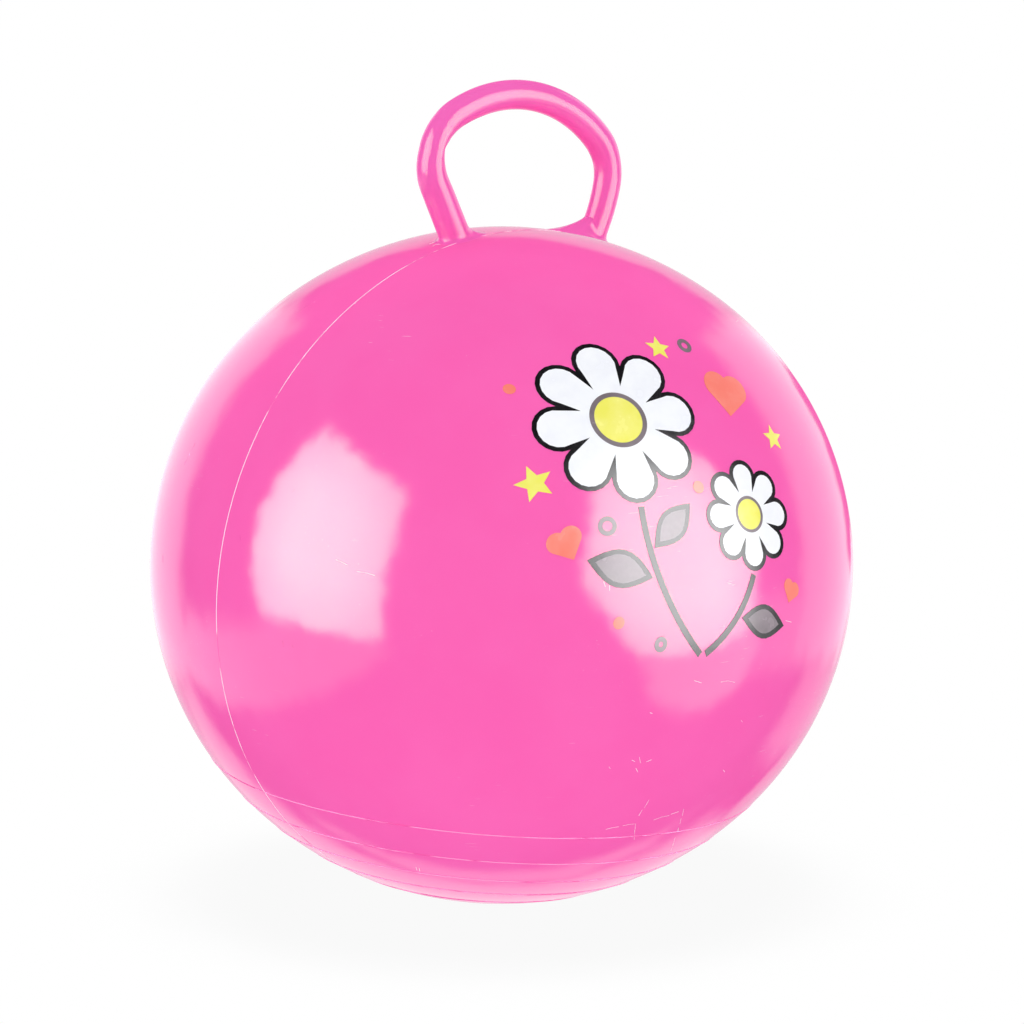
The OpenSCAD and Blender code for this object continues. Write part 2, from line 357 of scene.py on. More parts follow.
class Tree:
    """A node tree, with short calls to add and link nodes."""

    def __init__(self, tree: bpy.types.NodeTree, place: str) -> None:
        """Starts with the tree emptied, and the kind of place that its patterns follow."""
        self.tree = tree
        self.tree.nodes.clear()
        self.place = self.add("ShaderNodeTexCoord").outputs[place]

    def add(self, kind: str, *sources: object, **settings: object) -> bpy.types.Node:
        """Adds a node.

        Args:
            kind: The node's type name.
            sources: What feeds its first inputs, each an output or a value.
            settings: Properties to set, and what feeds inputs by name, with _ for a space.

        Returns:
            The new node.
        """
        node = self.tree.nodes.new(kind)
        for key, value in settings.items():
            if hasattr(node, key):
                setattr(node, key, value)
            else:
                self.feed(node.inputs[key.replace("_", " ")], value)
        for target, source in zip(node.inputs, sources):
            self.feed(target, source)
        return node

    def feed(self, target: Socket, source: object) -> None:
        """Links an output to an input, or sets the input to a value."""
        if isinstance(source, Socket):
            self.tree.links.new(source, target)
        else:
            target.default_value = (*source, 1) if target.type == "RGBA" else source

    def spread(self, value: Socket, low: float, high: float,
               to_low: float = 0.0, to_high: float = 1.0) -> Socket:
        """Maps a value smoothly from one range, low to high, onto another."""
        return self.add("ShaderNodeMapRange", value, low, high, to_low, to_high,
                        interpolation_type="SMOOTHSTEP").outputs["Result"]

    def maths(self, operation: str, first: Socket, second: Socket | float) -> Socket:
        """Does a sum, such as ADD or MULTIPLY, on one value and another or a number."""
        return self.add("ShaderNodeMath", first, second, operation=operation).outputs[0]

    def facing(self, toward: Vector) -> Socket:
        """How far the place, as a direction, points one way: the cosine between them."""
        return self.add("ShaderNodeVectorMath", self.place, toward,
                        operation="DOT_PRODUCT").outputs["Value"]

    def rays(self, kind: str) -> Socket:
        """1 for rays of one kind, 0 for the rest."""
        return self.add("ShaderNodeLightPath").outputs[kind]

    def mix(self, share: Socket, low: Socket | Colour | float, high: Socket | Colour | float,
            kind: str = "RGBA") -> Socket:
        """Mixes two colours or two values.

        Args:
            share: 0 for the first, 1 for the second.
            low: The first.
            high: The second.
            kind: RGBA for linear colours, FLOAT for values.

        Returns:
            The mix.
        """
        node = self.add("ShaderNodeMix", share, data_type=kind)
        first, out = (6, 2) if kind == "RGBA" else (2, 0)
        self.feed(node.inputs[first], low)
        self.feed(node.inputs[first + 1], high)
        return node.outputs[out]

    def noise(self, scale: float, detail: float, rough: float,
              stretch: Way | None = None) -> Socket:
        """Noise over the place.

        Args:
            scale: Repeats a metre.
            detail: Octaves of finer noise.
            rough: Strength of the finer noise.
            stretch: Scale along each axis, or None for an even noise.

        Returns:
            The noise value, about 0.5 in the middle.
        """
        place = self.place
        if stretch:
            place = self.add("ShaderNodeMapping", place, Scale=stretch).outputs["Vector"]
        return self.add("ShaderNodeTexNoise", place, Scale=scale, Detail=detail,
                        Roughness=rough).outputs["Fac"]


class Nodes(Tree):
    """A material's node tree, with patterns that follow the object's own coordinates."""

    def __init__(self, name: str) -> None:
        """Starts an empty material of the given name."""
        self.material = bpy.data.materials.new(name)
        self.material.use_nodes = True
        super().__init__(self.material.node_tree, "Object")

    def bump(self, height: Socket, distance: float, strength: float,
             after: Socket | None = None) -> Socket:
        """Turns a height into a bumped normal.

        Args:
            height: The height, from 0 to 1.
            distance: What a height of 1 is, in metres.
            strength: Strength of the bump.
            after: A normal that this one is added to.

        Returns:
            The bumped normal.
        """
        node = self.add("ShaderNodeBump", Strength=strength, Distance=distance, Height=height)
        if after:
            self.feed(node.inputs["Normal"], after)
        return node.outputs["Normal"]

    def show(self, surface: bpy.types.Node) -> bpy.types.Material:
        """Gives the material its surface, and returns it."""
        self.add("ShaderNodeOutputMaterial", surface.outputs[0])
        return self.material

    def plastic(self, **settings: object) -> bpy.types.Material:
        """Makes the surface a plastic with the given inputs, and returns the material."""
        return self.show(self.add("ShaderNodeBsdfPrincipled", IOR=1.5, **settings))


def srgb(red: int, green: int, blue: int) -> Colour:
    """Linear colour of an 8-bit screen colour."""
    def line(value: int) -> float:
        """Linear value of one channel."""
        share = value / 255
        return share / 12.92 if share <= 0.04045 else ((share + 0.055) / 1.055) ** 2.4
    return line(red), line(green), line(blue)


SKIN_PINK = srgb(251, 102, 183)
DEEP_PINK = srgb(240, 84, 168)


def skin_waves(n: Nodes) -> Socket:
    """The blown skin's long shallow waves and its finer unevenness, as a normal."""
    waves = n.bump(n.noise(7.0, 2.0, 0.45), 0.7 * MM, 0.6)
    return n.bump(n.noise(48.0, 3.0, 0.55), 0.14 * MM, 0.6, waves)


@dataclass(frozen=True)
class SoftPvc:
    """Glossy blown PVC: faint waves from the mould, fine pores, dust and hairline scratches."""

    name: str
    colour: Colour
    deep: Colour
    gloss: float = 0.10
    worn: float = 0.3
    shine: float = 0.5
    sheen_tint: Colour = (1.0, 1.0, 0.60)
    dust_tint: Colour = (1.0, 0.62, 0.80)
    depth_tint: Colour = (1.0, 0.4, 0.6)

    def make(self) -> bpy.types.Material:
        """Makes the material."""
        n = Nodes(self.name)
        mottle = n.noise(14.0, 3.0, 0.6)
        marks = n.maths("MAXIMUM", self.dust(n), self.hairlines(n))
        tint = n.mix(n.spread(mottle, 0.3, 0.7), self.deep, self.colour)
        pores = n.bump(n.noise(700.0, 2.0, 0.5), 0.02 * MM, 0.2, skin_waves(n))
        return n.plastic(
            Base_Color=n.mix(n.maths("MULTIPLY", marks, self.worn), tint, self.dust_tint),
            Roughness=n.spread(mottle, 0.25, 0.75, self.gloss, self.gloss * 1.3),
            Normal=n.bump(marks, 0.05 * MM, 0.4, pores),
            Subsurface_Weight=0.08, Subsurface_Scale=3 * MM, Subsurface_Radius=self.depth_tint,
            Specular_IOR_Level=self.shine, Specular_Tint=self.sheen_tint)

    @staticmethod
    def dust(n: Nodes) -> Socket:
        """Where fine dust lies: specks, and only in patches."""
        specks = n.spread(n.noise(900.0, 1.0, 0.5), 0.74, 0.80)
        return n.maths("MULTIPLY", specks, n.spread(n.noise(16.0, 2.0, 0.6), 0.50, 0.66))

    @staticmethod
    def hairlines(n: Nodes) -> Socket:
        """Where hairline scratches run: mostly level ones, and only in patches."""
        lines = n.spread(n.noise(60.0, 4.0, 0.55, (1.0, 1.0, 14.0)), 0.695, 0.72)
        return n.maths("MULTIPLY", lines, n.spread(n.noise(7.0, 1.0, 0.5), 0.52, 0.62))


@dataclass(frozen=True)
class MouldLine:
    """The thin line of a mould's parting or ring: the skin's own PVC, with a second colour painted
    in stretches, a painted highlight where it is paler and painted shade where it is darker.
    """

    name: str
    colour: Colour
    # second colour, painted light: a painted highlight where it is paler, painted shade where it is
    # darker
    painted_light: Colour
    stretch: float = 26.0
    share: float = 0.5
    edge: float = 0.06

    def make(self) -> bpy.types.Material:
        """Makes the material."""
        n = Nodes(self.name)
        start = 1 - self.share
        # stretches where the painted highlight or painted shade colour shows
        light_runs = n.spread(n.noise(self.stretch, 3.0, 0.7), start - self.edge, start + self.edge)
        return n.plastic(Base_Color=n.mix(light_runs, self.colour, self.painted_light),
                         Roughness=n.spread(light_runs, 0.0, 1.0, 0.25, 0.5),
                         Normal=n.bump(n.noise(400.0, 2.0, 0.5), 0.05 * MM, 0.5))


@dataclass(frozen=True)
class ScreenInk:
    """Glossy screen-printed ink: an even coat with a faint grain and a few pinholes."""

    name: str
    colour: Colour
    worn: Colour
    gloss: float = 0.2

    def make(self) -> bpy.types.Material:
        """Makes the material."""
        n = Nodes(self.name)
        patchy = n.spread(n.noise(55.0, 3.0, 0.6), 0.35, 0.75)
        pinholes = n.spread(n.noise(1100.0, 1.0, 0.5), 0.76, 0.80)
        return n.plastic(Base_Color=n.mix(patchy, self.colour, self.worn),
                         Roughness=n.spread(patchy, 0.0, 1.0, self.gloss, self.gloss * 1.4),
                         Normal=n.bump(pinholes, 0.04 * MM, 0.5, skin_waves(n)))


class InkColour(Enum):
    """The inks of the printed design, with their CAD nodes."""

    WHITE = ("print_white", srgb(246, 248, 252), srgb(238, 240, 248))
    BLACK = ("print_black", srgb(20, 19, 22), srgb(32, 30, 34))
    YELLOW = ("print_yellow", srgb(238, 234, 96), srgb(244, 240, 130))
    CORAL = ("print_coral", srgb(248, 128, 112), srgb(250, 142, 128))
    GREY = ("print_grey", srgb(118, 108, 114), srgb(132, 120, 128))

    def __init__(self, node: str, colour: Colour, worn: Colour) -> None:
        """Holds the ink's node and its two shades."""
        self.node = node
        self.colour = colour
        self.worn = worn


# The ball

@dataclass
class BallSkin:
    """The blown ball: its skin, the parting line, the fine rings round its bottom and scuffs."""

    sizes: BallSizes = BallSizes()
    segments: int = 224
    belts: int = 112
    ring_heights: tuple[float, ...] = (-0.599, -0.696, -0.772, -0.841, -0.912)
    ring_lean: float = math.radians(4.9)
    seam_turn: float = math.radians(2.33)
    seam_tilt: float = math.radians(2.37)
    ring_bead: float = 0.5 * MM
    flash_bead: float = 0.42 * MM
    scuff_bead: float = 0.22 * MM
    scuff_sunk: tuple[float, ...] = (0.55, 0.65, 0.75)
    # pale scuffs: real scratch beads, painted pale as painted highlight
    highlit_scuffs: tuple[Marks, ...] = (
        ((602, 817), (608, 815.5), (614.5, 814.6)), ((618.5, 813.8), (624, 812.6), (630, 812.3)),
        ((648.5, 809), (656, 806.4), (664, 805)), ((665.5, 803.8), (673, 801.5)),
        ((631, 812), (630.4, 820), (630.2, 829)), ((643.5, 788), (639, 796)),
        ((637, 798), (633.8, 804)), ((678, 799), (677, 806)), ((676, 809), (675, 815)),
        ((674, 819), (673.4, 824)), ((671.5, 830), (670.6, 838), (669.6, 847)),
        ((418.5, 857), (419.4, 861)), ((421.6, 858), (422.2, 862)),
        ((685, 672), (692, 674.4)), ((711, 674), (718, 673), (724.6, 674.6)),
        ((749.6, 611.7), (757, 613), (764, 614.6)), ((775, 616.4), (781, 618)),
        ((346, 557), (351, 559), (357, 562)), ((366, 568), (374, 569), (383, 571.6)),
        ((601, 573), (603.4, 579), (603.8, 586)), ((598, 577), (599.6, 582)),
        ((626, 748), (629, 749.4)), ((633, 745), (634.4, 751)), ((640, 750), (645, 748)),
        ((630, 756), (632, 760)), ((716, 761), (717.4, 763)), ((732, 712), (733.4, 714)),
        ((642.6, 702), (645, 703)), ((604, 754), (605.4, 756)),
    )
    # dark scuffs: scratch and dent beads painted darker pink as painted shade
    shaded_scuffs: tuple[Marks, ...] = (
        ((190, 465), (195, 457), (202, 444)), ((300, 317), (309, 310), (319, 305)),
        ((294, 634), (294.8, 640)), ((303, 638), (304.4, 641)), ((303.6, 493), (306, 490)),
        ((252, 534), (252.6, 539)), ((167, 553), (167.4, 561)), ((605.4, 574), (606, 584)),
    )
    crinkle_bead: float = 0.55 * MM
    # the crinkles' beads take the pale scuff colour too: painted highlight on the folds
    crinkles: tuple[Marks, ...] = (
        ((430, 244), (434.5, 241.6), (439, 240.6)), ((433.5, 248), (437, 245), (441, 245.4)),
        ((445, 243.6), (449, 242.4), (453, 243)), ((446, 245), (449.5, 244.4), (453, 245)),
    )
    ring_points: int = 240
    ring_sunk: float = 0.35
    flash_points: int = 480
    flash_sunk: float = 0.45
    nearing: int = 8
    mouth: float = 9 * MM

    @property
    def centre(self) -> Vector:
        """Middle of the ball."""
        return Vector((0, 0, self.sizes.middle))

    def build(self) -> Piece:
        """Models the skin and returns it."""
        skin = self.blow()
        finish_with(skin, "SOLIDIFY", thickness=self.sizes.skin, offset=-1)
        self.cut_mouth(skin)
        dress(skin, SoftPvc("pink_pvc", SKIN_PINK, srgb(250, 98, 180)).make())
        trims = (
            # rings: a darker pink as painted shade, with pale stretches as painted highlight
            (MouldLine("ring_pvc", srgb(244, 88, 172), srgb(255, 150, 208), 18.0, 0.55),
             [self.ring(height) for height in self.ring_heights]),
            # parting line: the skin's pink with pale stretches, a painted highlight along the bead
            (MouldLine("parting_pvc", SKIN_PINK, srgb(255, 214, 236), 30.0, 0.56),
             [self.parting_line()]),
            # scuffs and crinkles painted pale: painted highlight on their beads
            (MouldLine("scuff_painted_highlight", srgb(255, 196, 226), srgb(255, 226, 242), 90.0),
             self.scuffs(self.highlit_scuffs, self.scuff_bead)
             + self.scuffs(self.crinkles, self.crinkle_bead)),
            # dark scuffs painted darker: painted shade in small dents and scratches
            (MouldLine("scuff_painted_shade", DEEP_PINK, srgb(214, 66, 146), 90.0),
             self.scuffs(self.shaded_scuffs, self.scuff_bead)),
        )
        for finish, beads in trims:
            material = finish.make()
            for bead in beads:
                dress(bead, material)
        join_to(skin, *[bead for _, beads in trims for bead in beads])
        settle(skin)
        smooth(skin)
        return skin

    def blow(self) -> Piece:
        """Shapes a sphere into the ball's oval, with the flat patch that it stands on."""
        bpy.ops.mesh.primitive_uv_sphere_add(segments=self.segments, ring_count=self.belts,
                                             radius=1.0, location=(0, 0, 0))
        skin = added("ball_shell")
        mesh = edit(skin)
        for vert in mesh.verts:
            tilt = math.asin(max(-1.0, min(1.0, vert.co.z)))
            vert.co = self.sizes.at(tilt, math.atan2(vert.co.y, vert.co.x))
            vert.co.z = max(vert.co.z, 0.0)
        bmesh.update_edit_mesh(skin.data)
        close_edit()
        return skin

    def cut_mouth(self, skin: Piece) -> None:
        """Cuts the round mouth that the valve is welded into."""
        rise = self.sizes.valve_rise
        bpy.ops.mesh.primitive_cylinder_add(
            vertices=64, radius=self.mouth, depth=self.mouth * 2,
            location=self.sizes.at(rise, math.pi / 2),
            rotation=Vector((0, math.cos(rise), math.sin(rise))).to_track_quat("Z", "Y").to_euler())
        carve(skin, added("mouth_cutter"))

    def bead(self, name: str, points: list[Vector], radius: float,
             closed: bool = True) -> Piece:
        """Lays a fine bead along points on the skin.

        Args:
            name: The bead's name.
            points: Its middle line, in the row frame.
            radius: Radius of the bead, in metres.
            closed: True if its end joins its start.

        Returns:
            The bead as a mesh.
        """
        bpy.ops.mesh.primitive_circle_add(vertices=len(points), radius=1.0)
        line = added(name)
        mesh = edit(line)
        mesh.verts.ensure_lookup_table()
        ends = (mesh.verts[0], mesh.verts[len(points) - 1])
        for vert, point in zip(mesh.verts, points):
            vert.co = point
        if not closed:
            bpy.ops.mesh.select_mode(type="EDGE")
            mesh.edges.get(ends).select_set(True)
            bmesh.update_edit_mesh(line.data)
            bpy.ops.mesh.delete(type="EDGE_FACE")
        else:
            bmesh.update_edit_mesh(line.data)
        close_edit()
        bpy.ops.object.convert(target="CURVE")
        line.data.bevel_depth = radius
        line.data.bevel_resolution = 1
        line.data.use_fill_caps = not closed
        bpy.ops.object.convert(target="MESH")
        return line

    def scuffs(self, places: tuple[Marks, ...], radius: float) -> list[Piece]:
        """Lays fine scuffs, given by their places in the picture.

        Args:
            places: For each scuff, the places along it, in pixels.
            radius: Radius of their beads, in metres.

        Returns:
            The scuffs' beads, each sunk in a little more or less than the one before.
        """
        beads = []
        for index, marks in enumerate(places):
            sunk = -radius * self.scuff_sunk[index % len(self.scuff_sunk)]
            points = [VIEW.on_ball(self.sizes, *mark, sunk) for mark in marks]
            while len(points) < 3:
                points.insert(1, self.sizes.press((points[0] + points[-1]) / 2, sunk))
            beads.append(self.bead("scuff", points, radius, closed=False))
        return beads

    def ring(self, share: float) -> Piece:
        """Lays one of the rings, on the axis that the ball was blown on.

        Args:
            share: Height of the ring along that axis, as a share of the ball's half width.

        Returns:
            The ring's bead.
        """
        axis = Matrix.Rotation(-self.ring_lean, 3, VIEW.back) @ Vector((0, 0, 1))
        side = axis.cross(Vector((0, 1, 0))).normalized()
        front = axis.cross(side)
        centre = self.centre + axis * share * self.sizes.half_width
        points = []
        for turn in spaced(0.0, math.tau, self.ring_points)[:-1]:
            out = side * math.cos(turn) + front * math.sin(turn)
            point = centre + out * self.sizes.half_width / 2
            for _ in range(self.nearing):
                point = centre + out * out.dot(self.sizes.press(point) - self.centre)
            points.append(self.sizes.press(point, -self.ring_bead * self.ring_sunk))
        return self.bead("mould_ring", points, self.ring_bead)

    def parting_line(self) -> Piece:
        """Lays the mould's parting line, a little turned and tilted from the handle's plane."""
        plane = Matrix.Rotation(self.seam_turn, 3, "Z") @ Matrix.Rotation(self.seam_tilt, 3, "X")
        points = []
        for turn in spaced(0.0, math.tau, self.flash_points)[:-1]:
            way = plane @ Vector((math.cos(turn), 0, math.sin(turn)))
            point = self.centre + way * self.sizes.half_width
            for _ in range(self.nearing):
                point = self.centre + way * way.dot(self.sizes.press(point) - self.centre)
            point = self.sizes.press(point, -self.flash_bead * self.flash_sunk)
            point.z = max(point.z, self.flash_bead)
            points.append(point)
        return self.bead("parting_line", points, self.flash_bead)


# The handle

@dataclass(frozen=True)
class RootBlend:
    """How one leg runs into the ball."""

    side: int
    way: float
    base: float
    web: float
    web_turn: float
    web_full: float
    climb: float = 1.15
    web_climb: float = 0.55

    def reach(self, turn: float) -> Way:
        """Size of the blend in one direction round the leg.

        Args:
            turn: Direction round the leg, in radians, 0 towards +X and a quarter turn towards -Y.

        Returns:
            The blend's reach along the skin and up the leg, in metres, and how far it fills
            the corner between them, from 0 to 1.
        """
        lobe = max(0.0, math.cos(turn - self.web_turn)) ** 3
        return (self.base + self.web * lobe,
                self.base * self.climb + self.web * lobe * self.web_climb, self.web_full * lobe)


@dataclass
class HandleLoop:
    """The handle: one tube bent to a C, with soft roots that run into the ball."""

    ball: BallSizes = BallSizes()
    sizes: LoopSizes = LoopSizes()
    sides: int = 64
    blend_rings: int = 10
    roots: tuple[RootBlend, RootBlend] = (
        RootBlend(-1, 29 * MM, 4.2 * MM, 7 * MM, 0.0, 0.3),
        RootBlend(1, 24 * MM, 4.5 * MM, 21 * MM, math.pi, 0.7),
    )
    fullness: Marks = (
        (0.0, 1.05), (0.14, 1.03), (0.3, 0.965), (0.5, 0.99), (0.68, 0.985), (0.8, 0.935),
        (1.0, 0.92),
    )
    kink_level: float = 486.5 * MM
    kink_depth: float = 6.0 * MM
    kink_run: float = 9 * MM
    kink_outer_depth: float = 1.7 * MM
    kink_outer_run: float = 16 * MM
    kink_span: float = 45 * MM
    kink_steps: int = 48
    left_steps: int = 16
    crown_steps: int = 84
    right_steps: int = 14
    blend_start: float = 0.3
    root_past: float = 1.2 * MM
    root_under: float = 0.8 * MM
    nearing: int = 12

    def build(self) -> Piece:
        """Models the handle and returns it."""
        stations = self.stations()
        loop = self.start(stations[0])
        edit(loop)
        self.grab_rim(loop, last=True)
        for before, after in zip(stations, stations[1:]):
            self.draw_on(before, after)
        close_edit()
        self.run_into_ball(loop, stations[-1], self.roots[1], last=True)
        self.run_into_ball(loop, stations[0], self.roots[0], last=False)
        self.shut(loop)
        self.kink(loop)
        smooth(loop, 60.0)
        return loop

    def place(self, across: float, up: float) -> Vector:
        """Row-frame point of a point in the loop's own plane."""
        turn = self.sizes.lean
        level = self.ball.middle + self.ball.half_height + self.sizes.stand
        return Vector((self.sizes.offset + across * math.cos(turn) + up * math.sin(turn), 0,
                       level - across * math.sin(turn) + up * math.cos(turn)))

    def left_line(self, end: float, steps: int) -> list[Vector]:
        """Middle line of the tube's left part.

        Args:
            end: Where on the crown it ends, in half turns from the right side.
            steps: Number of steps over the crown.

        Returns:
            Its points, in the row frame, from the left root on.
        """
        flat = [self.sizes.leg(-1, self.roots[0].way * share)
                for share in spaced(1.0, 0.0, self.left_steps)]
        flat += [self.sizes.point(math.pi * share) for share in spaced(1.0, end, steps)[1:]]
        return [self.place(*point) for point in flat]

    def stations(self) -> list[Station]:
        """Middle, direction and radius of each ring of the tube, from the left root to the right."""
        middles = self.left_line(0.0, self.crown_steps)
        middles += [self.place(*self.sizes.leg(1, self.roots[1].way * share))
                    for share in spaced(0.0, 1.0, self.right_steps)[1:]]
        rows = []
        for index, middle in enumerate(middles):
            way = middles[min(index + 1, len(middles) - 1)] - middles[max(index - 1, 0)]
            rows.append((middle, way.normalized(), self.thickness(index / (len(middles) - 1))))
        return rows

    def thickness(self, share: float) -> float:
        """Radius of the tube at a share of its length: fuller at the crown and the left root."""
        for (low, thin), (high, full) in zip(self.fullness, self.fullness[1:]):
            if share <= high:
                blend = (share - low) / (high - low)
                blend = blend * blend * (3 - 2 * blend)
                return self.sizes.tube * (thin + (full - thin) * blend)
        return self.sizes.tube * self.fullness[-1][1]

    def kink(self, loop: Piece) -> None:
        """Folds in the left shoulder, mostly its inner side, where the soft tube has buckled."""
        inward = (self.place(0, 0) - self.place(-self.sizes.half_width, 0)).normalized()
        line = self.left_line(0.4, self.kink_steps)
        mesh = edit(loop)
        for vert in mesh.verts:
            away = abs(vert.co.z - self.kink_level)
            if vert.co.x > self.sizes.offset - self.sizes.half_width / 2 or away > self.kink_span:
                continue
            middle = min(line, key=lambda place: (place - vert.co).length)
            lean = max(-1.0, min(1.0, (vert.co - middle).dot(inward) / self.sizes.tube))
            inner = self.kink_depth * max(lean, 0.0) ** 1.5 * math.exp(-away / self.kink_run)
            outer = self.kink_outer_depth * max(-lean, 0.0) ** 1.5
            outer *= math.exp(-away / self.kink_outer_run)
            vert.co += inward * (outer - inner)
        bmesh.update_edit_mesh(loop.data)
        close_edit()

    def start(self, station: Station) -> Piece:
        """Adds the first ring of the tube, square to its direction."""
        middle, way, radius = station
        bpy.ops.mesh.primitive_circle_add(vertices=self.sides, radius=radius, location=middle,
                                          rotation=(0, math.atan2(way.x, way.z), 0))
        loop = added("handle_tube")
        settle(loop)
        return loop

    def grab_rim(self, loop: Piece, last: bool) -> None:
        """Selects the tube's open rim at its last or first end."""
        mesh = bmesh.from_edit_mesh(loop.data)
        bpy.ops.mesh.select_all(action="DESELECT")
        for edge in mesh.edges:
            right = (edge.verts[0].co.x + edge.verts[1].co.x) / 2 > self.sizes.offset
            if len(edge.link_faces) < 2 and (right == last or not edge.link_faces):
                edge.select_set(True)
        mesh.select_flush_mode()
        bmesh.update_edit_mesh(loop.data)

    def draw_on(self, before: Station, after: Station) -> None:
        """Draws the selected ring on from one station to the next."""
        bpy.ops.mesh.extrude_edges_move(TRANSFORM_OT_translate={"value": after[0] - before[0]})
        turn = math.atan2(after[1].x, after[1].z) - math.atan2(before[1].x, before[1].z)
        turn = (turn + math.pi) % math.tau - math.pi
        bpy.ops.transform.rotate(value=ROTATE_SIGN * turn, orient_axis="Y",
                                 orient_type="GLOBAL", center_override=after[0])
        size = after[2] / before[2]
        bpy.ops.transform.resize(value=(size, size, size), center_override=after[0])

    def run_into_ball(self, loop: Piece, station: Station, root: RootBlend, last: bool) -> None:
        """Draws one end of the tube out into a soft blend that ends in the ball's skin.

        Args:
            loop: The tube.
            station: Middle, direction and radius of the tube's end ring.
            root: The root's blend.
            last: True at the tube's last end.
        """
        middle, way, _ = station
        down = way if last else -way
        edit(loop)
        self.grab_rim(loop, last)
        mesh = bmesh.from_edit_mesh(loop.data)
        source = {self.key(vert.co): vert.co.copy() for vert in mesh.verts if vert.select}
        feet = {key: self.foot(point, middle, down, root) for key, point in source.items()}
        now = {key: key for key in source}
        for ring in range(1, self.blend_rings + 2):
            bpy.ops.mesh.extrude_edges_move(TRANSFORM_OT_translate={"value": (0, 0, 0)})
            mesh = bmesh.from_edit_mesh(loop.data)
            moved = {}
            for vert in [vert for vert in mesh.verts if vert.select]:
                origin = now[self.key(vert.co)]
                vert.co = self.blend_point(source[origin], feet[origin], ring / self.blend_rings)
                moved[self.key(vert.co)] = origin
            now = moved
            bmesh.update_edit_mesh(loop.data)
        close_edit()

    @staticmethod
    def key(point: Vector) -> tuple[int, int, int]:
        """A point as whole tenths of a micrometre, for finding it again."""
        return tuple(round(value * 1e7) for value in point)

    def foot(self, point: Vector, middle: Vector, down: Vector,
             root: RootBlend) -> tuple[Vector, Vector, float, float]:
        """Where one line of the tube meets the skin, and where its blend ends on the skin.

        Args:
            point: The line's start on the tube's end ring.
            middle: The middle of that ring.
            down: Way of the leg towards the ball.
            root: The root's blend.

        Returns:
            The corner between tube and skin, the blend's end on the skin, how far up the leg
            the blend starts, and how far it fills the corner.
        """
        corner = point.copy()
        for _ in range(self.nearing):
            gap = (corner - self.ball.press(corner)).dot(self.ball.normal(corner))
            slope = -down.dot(self.ball.normal(corner))
            corner = corner + down * gap / max(slope, 0.3)
        spoke = (point - middle).normalized()
        normal = self.ball.normal(corner)
        out = (spoke - normal * spoke.dot(normal)).normalized()
        along, climb, full = root.reach(math.atan2(-out.y, out.x))
        return corner, self.ball.press(corner + out * along), climb, full

    def blend_point(self, start: Vector, foot: tuple[Vector, Vector, float, float],
                    share: float) -> Vector:
        """Point of the blend between the tube and the skin.

        Args:
            start: Where the blend leaves the tube.
            foot: The corner between tube and skin, the blend's end, its climb and its fullness.
            share: 0 at the tube and 1 at the skin. Past 1 it goes under the skin.

        Returns:
            The point.
        """
        corner, end, climb, full = foot
        if share > 1:
            past = (end - corner).normalized() * self.root_past
            return self.ball.press(end + past, -self.root_under)
        take_off = corner + (start - corner).normalized() * min(climb, (start - corner).length)
        split = self.blend_start
        if share < split:
            return start.lerp(take_off, share / split)
        t = (share - split) / (1 - split)
        pull = corner.lerp((take_off + end) / 2, full)
        return take_off.lerp(pull, t).lerp(pull.lerp(end, t), t)

    def shut(self, loop: Piece) -> None:
        """Closes both ends of the tube under the ball's skin."""
        for last in (False, True):
            edit(loop)
            self.grab_rim(loop, last)
            bpy.ops.mesh.edge_face_add()
            close_edit()
        edit(loop)
        bpy.ops.mesh.select_all(action="SELECT")
        bpy.ops.mesh.normals_make_consistent(inside=False)
        close_edit()


# The valve

